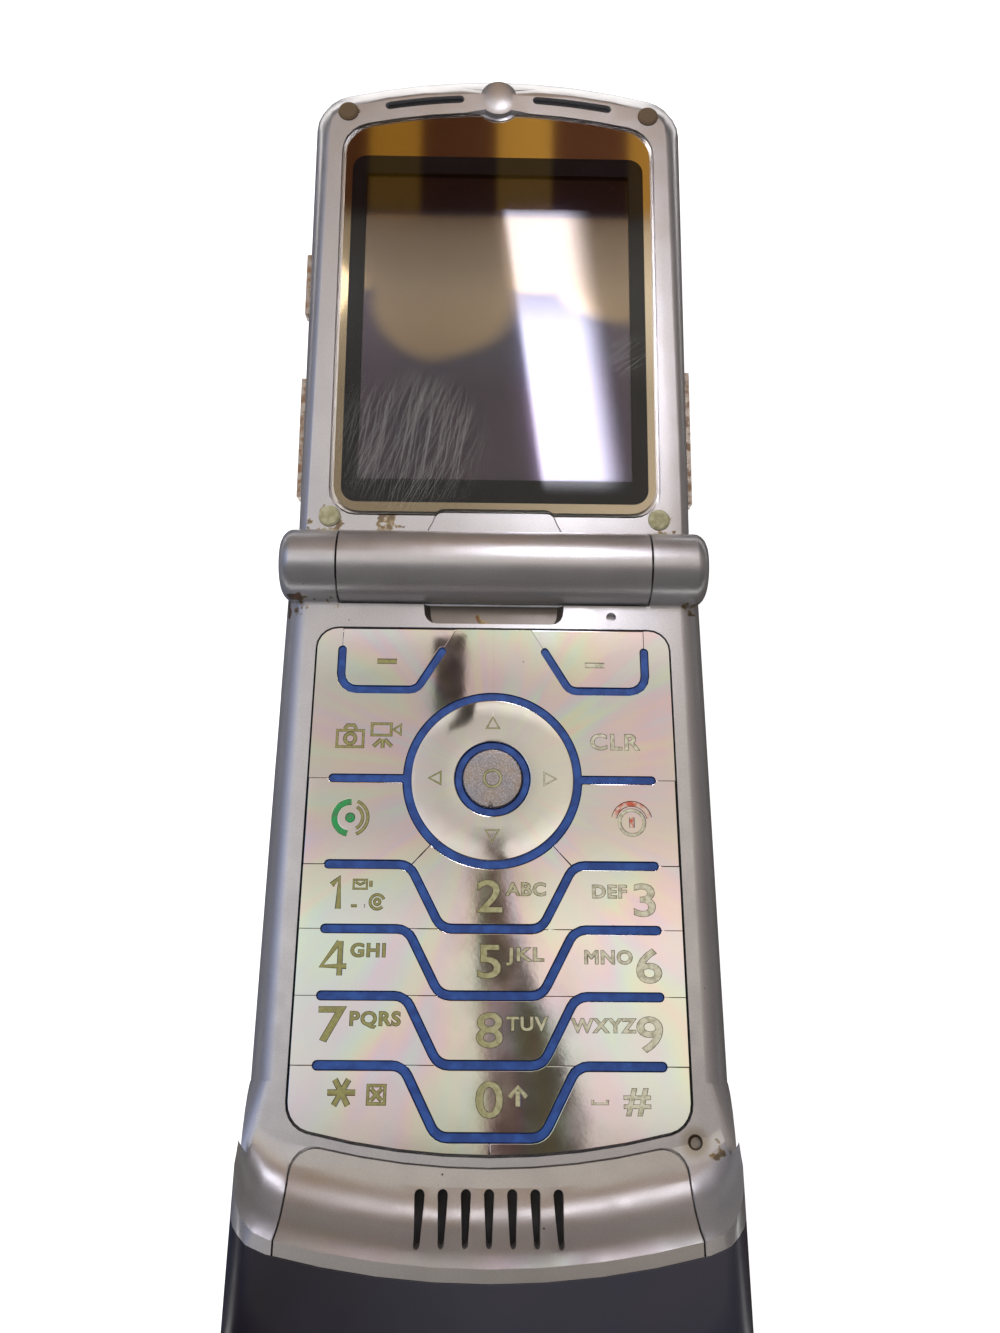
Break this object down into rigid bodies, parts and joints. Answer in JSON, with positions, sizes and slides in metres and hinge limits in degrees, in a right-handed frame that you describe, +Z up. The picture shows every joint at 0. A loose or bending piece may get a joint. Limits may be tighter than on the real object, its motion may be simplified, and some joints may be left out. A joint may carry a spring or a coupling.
{
  "type": "folding mobile phone",
  "caption": "Folding mobile phone with an etched metal keypad, a steering ring, side keys and a large display in its hinged lid.",
  "frame": {"origin": "middle of the flat back of the base, on which the phone lies", "axes": "+Z up out of the keypad, +Y from the chin towards the tip of the open lid, +X to the right"},
  "size_m": [0.053, 0.1673, 0.0172],
  "materials": {
    "silver_paint": "satin metallic lacquer on die-cast metal",
    "cover_metal": "satin anodised sheet",
    "back_paint": "satin metallic lacquer",
    "chin_paint": "satin metallic lacquer on plastic",
    "cap_plastic": "dark slate, soft satin top and glossy shoulders",
    "light_guide": "translucent blue silicone",
    "film": "clear film with metal domes",
    "circuit_board": "green solder resist",
    "tin_steel": "tinned sheet",
    "battery_wrap": "matt label film",
    "black_plastic": "matt",
    "brass_contact": "gold plated",
    "hinge_steel": "ground",
    "screw_steel": "blackened",
    "key_metal": "polished and finely brushed plate",
    "nav_metal": "polished plate",
    "select_metal": "fine sparkle",
    "elastomer": "matt",
    "lens_acrylic": "scratched clear plastic with a mirrored border",
    "display_glass": "dark polished",
    "outer_glass": "smoked, polished",
    "side_key_metal": "worn plate",
    "bumper_rubber": "matt",
    "flex_film": "amber film"
  },
  "bodies": {
    "base": {"front_housing": "silver_paint", "rear_housing": "back_paint", "chin_cover": "chin_paint", "antenna_cap": "cap_plastic", "keypad_backlight": "light_guide", "dome_sheet": "film", "main_board": "circuit_board", "shield_can": "tin_steel", "battery": "battery_wrap", "loudspeaker": "black_plastic", "microphone": "brass_contact", "microphone_mesh": "black_plastic", "antenna": "brass_contact", "vibration_motor": "tin_steel", "usb_socket": "tin_steel", "sim_holder": "tin_steel", "hinge_cam": "hinge_steel", "hinge_pin": "hinge_steel", "case_screws": "screw_steel"},
    "lid": {"lid_inner_housing": "silver_paint", "lid_outer_cover": "cover_metal", "display_lens": "lens_acrylic", "main_display": "display_glass", "outer_lens": "outer_glass", "outer_display": "display_glass", "camera_module": "black_plastic", "camera_ring": "tin_steel", "earpiece": "black_plastic", "earpiece_mesh": "black_plastic", "lid_bumpers": "bumper_rubber", "lid_board": "circuit_board", "lid_screws": "screw_steel", "hinge_flex": "flex_film"},
    "key_soft_left": {"key_soft_left": "key_metal"},
    "key_soft_right": {"key_soft_right": "key_metal"},
    "key_camera": {"key_camera": "key_metal"},
    "key_clear": {"key_clear": "key_metal"},
    "key_send": {"key_send": "key_metal"},
    "key_end": {"key_end": "key_metal"},
    "key_1": {"key_1": "key_metal"},
    "key_2": {"key_2": "key_metal"},
    "key_3": {"key_3": "key_metal"},
    "key_4": {"key_4": "key_metal"},
    "key_5": {"key_5": "key_metal"},
    "key_6": {"key_6": "key_metal"},
    "key_7": {"key_7": "key_metal"},
    "key_8": {"key_8": "key_metal"},
    "key_9": {"key_9": "key_metal"},
    "key_star": {"key_star": "key_metal"},
    "key_0": {"key_0": "key_metal"},
    "key_hash": {"key_hash": "key_metal"},
    "battery_door": {"battery_door": "back_paint"},
    "battery_latch": {"battery_latch": "chin_paint"},
    "nav_support": {"nav_support": "elastomer"},
    "nav_ring": {"nav_ring": "nav_metal"},
    "select_key": {"select_key": "select_metal"},
    "smart_key": {"smart_key": "side_key_metal"},
    "volume_rocker": {"volume_rocker": "side_key_metal"},
    "voice_key": {"voice_key": "side_key_metal"}
  },
  "joints": [
    {"name": "lid_hinge", "type": "hinge", "parent": "base", "child": "lid", "pos_m": [0, 0.0444, 0.0074], "axis": [1, 0, 0], "range_deg": [0, 171.85]},
    {"name": "key_soft_left_press", "type": "slide", "parent": "base", "child": "key_soft_left", "axis": [0, 0, -1], "range_m": [0, 0.0002], "stiffness_N_per_m": 1500},
    {"name": "key_soft_right_press", "type": "slide", "parent": "base", "child": "key_soft_right", "axis": [0, 0, -1], "range_m": [0, 0.0002], "stiffness_N_per_m": 1500},
    {"name": "key_camera_press", "type": "slide", "parent": "base", "child": "key_camera", "axis": [0, 0, -1], "range_m": [0, 0.0002], "stiffness_N_per_m": 1500},
    {"name": "key_clear_press", "type": "slide", "parent": "base", "child": "key_clear", "axis": [0, 0, -1], "range_m": [0, 0.0002], "stiffness_N_per_m": 1500},
    {"name": "key_send_press", "type": "slide", "parent": "base", "child": "key_send", "axis": [0, 0, -1], "range_m": [0, 0.0002], "stiffness_N_per_m": 1500},
    {"name": "key_end_press", "type": "slide", "parent": "base", "child": "key_end", "axis": [0, 0, -1], "range_m": [0, 0.0002], "stiffness_N_per_m": 1500},
    {"name": "key_1_press", "type": "slide", "parent": "base", "child": "key_1", "axis": [0, 0, -1], "range_m": [0, 0.0002], "stiffness_N_per_m": 1500},
    {"name": "key_2_press", "type": "slide", "parent": "base", "child": "key_2", "axis": [0, 0, -1], "range_m": [0, 0.0002], "stiffness_N_per_m": 1500},
    {"name": "key_3_press", "type": "slide", "parent": "base", "child": "key_3", "axis": [0, 0, -1], "range_m": [0, 0.0002], "stiffness_N_per_m": 1500},
    {"name": "key_4_press", "type": "slide", "parent": "base", "child": "key_4", "axis": [0, 0, -1], "range_m": [0, 0.0002], "stiffness_N_per_m": 1500},
    {"name": "key_5_press", "type": "slide", "parent": "base", "child": "key_5", "axis": [0, 0, -1], "range_m": [0, 0.0002], "stiffness_N_per_m": 1500},
    {"name": "key_6_press", "type": "slide", "parent": "base", "child": "key_6", "axis": [0, 0, -1], "range_m": [0, 0.0002], "stiffness_N_per_m": 1500},
    {"name": "key_7_press", "type": "slide", "parent": "base", "child": "key_7", "axis": [0, 0, -1], "range_m": [0, 0.0002], "stiffness_N_per_m": 1500},
    {"name": "key_8_press", "type": "slide", "parent": "base", "child": "key_8", "axis": [0, 0, -1], "range_m": [0, 0.0002], "stiffness_N_per_m": 1500},
    {"name": "key_9_press", "type": "slide", "parent": "base", "child": "key_9", "axis": [0, 0, -1], "range_m": [0, 0.0002], "stiffness_N_per_m": 1500},
    {"name": "key_star_press", "type": "slide", "parent": "base", "child": "key_star", "axis": [0, 0, -1], "range_m": [0, 0.0002], "stiffness_N_per_m": 1500},
    {"name": "key_0_press", "type": "slide", "parent": "base", "child": "key_0", "axis": [0, 0, -1], "range_m": [0, 0.0002], "stiffness_N_per_m": 1500},
    {"name": "key_hash_press", "type": "slide", "parent": "base", "child": "key_hash", "axis": [0, 0, -1], "range_m": [0, 0.0002], "stiffness_N_per_m": 1500},
    {"name": "nav_tilt_up_down", "type": "hinge", "parent": "base", "child": "nav_support", "pos_m": [0, 0.01755, 0.0065], "axis": [1, 0, 0], "range_deg": [-1, 1], "stiffness_Nm_per_rad": 0.5},
    {"name": "nav_tilt_left_right", "type": "hinge", "parent": "nav_support", "child": "nav_ring", "pos_m": [0, 0.01755, 0.0065], "axis": [0, 1, 0], "range_deg": [-1, 1], "stiffness_Nm_per_rad": 0.5},
    {"name": "select_press", "type": "slide", "parent": "base", "child": "select_key", "axis": [0, 0, -1], "range_m": [0, 0.0002], "stiffness_N_per_m": 1500},
    {"name": "smart_key_press", "type": "slide", "parent": "lid", "child": "smart_key", "axis": [1, 0, 0], "range_m": [0, 0.0003], "stiffness_N_per_m": 1500},
    {"name": "voice_key_press", "type": "slide", "parent": "lid", "child": "voice_key", "axis": [-1, 0, 0], "range_m": [0, 0.0003], "stiffness_N_per_m": 1500},
    {"name": "volume_rock", "type": "hinge", "parent": "lid", "child": "volume_rocker", "pos_m": [-0.0244, 0.06288, 0.00671], "axis": [0, -0.1418, 0.9899], "range_deg": [-1.2, 1.2], "stiffness_Nm_per_rad": 0.4},
    {"name": "battery_door_open", "type": "hinge", "parent": "base", "child": "battery_door", "pos_m": [0, 0.034, 0], "axis": [1, 0, 0], "range_deg": [0, 30]},
    {"name": "battery_latch_slide", "type": "slide", "parent": "base", "child": "battery_latch", "axis": [0, -1, 0], "range_m": [0, 0.001], "stiffness_N_per_m": 400}
  ]
}
